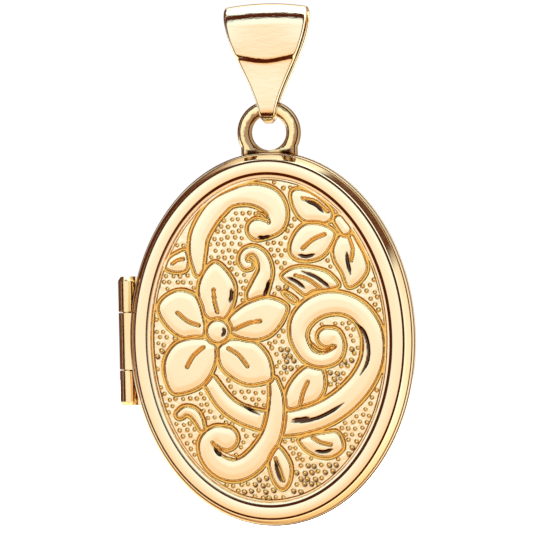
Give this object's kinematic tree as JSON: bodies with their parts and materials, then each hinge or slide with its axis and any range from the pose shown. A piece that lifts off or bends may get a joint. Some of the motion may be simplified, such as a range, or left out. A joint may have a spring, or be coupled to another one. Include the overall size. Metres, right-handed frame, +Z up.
{
  "type": "oval photo locket",
  "caption": "Oval hinged photo locket: engraved domed front and plain back shells, bezel-framed pictures inside, on a ring with a tapered folded bail.",
  "frame": {"origin": "where the chain bears on the inside of the bail's top arch", "axes": "+Z up as worn, the engraved front cover faces -Y, the hinge is on the -X side"},
  "size_m": [0.0173, 0.0033, 0.0303],
  "materials": {
    "polished_gold": "mirror-polished yellow gold",
    "satin_gold": "satin, the cut lines and stippled ground of the engraving",
    "inner_gold": "lightly polished, the bezels and picture frames",
    "hinge_gold": "polished, drawn tube",
    "pin_gold": "drawn wire, filed ends",
    "clear_window": "clear acetate sheet",
    "picture_card": "blank picture card"
  },
  "bodies": {
    "bail": {"bail": "polished_gold"},
    "back_half": {"suspension_ring": "polished_gold", "back_cover": "polished_gold", "back_bezel": "inner_gold", "back_picture_card": "picture_card", "back_window": "clear_window", "back_picture_frame": "inner_gold", "upper_hinge_knuckle": "hinge_gold", "lower_hinge_knuckle": "hinge_gold", "back_joint_bearers": "hinge_gold", "hinge_pin": "pin_gold"},
    "lid": {"front_cover": "polished_gold", "front_bezel": "inner_gold", "front_picture_card": "picture_card", "front_window": "clear_window", "front_picture_frame": "inner_gold", "middle_hinge_knuckle": "hinge_gold", "front_joint_bearer": "hinge_gold"}
  },
  "joints": [
    {"name": "bail_swing", "type": "hinge", "parent": "bail", "child": "back_half", "pos_m": [0, 0, -0.00575], "axis": [1, 0, 0], "range_deg": [-110, 110]},
    {"name": "lid_hinge", "type": "hinge", "parent": "back_half", "child": "lid", "pos_m": [-0.0085, -0.00045, -0.01914], "axis": [0, 0, -1], "range_deg": [0, 180]}
  ]
}
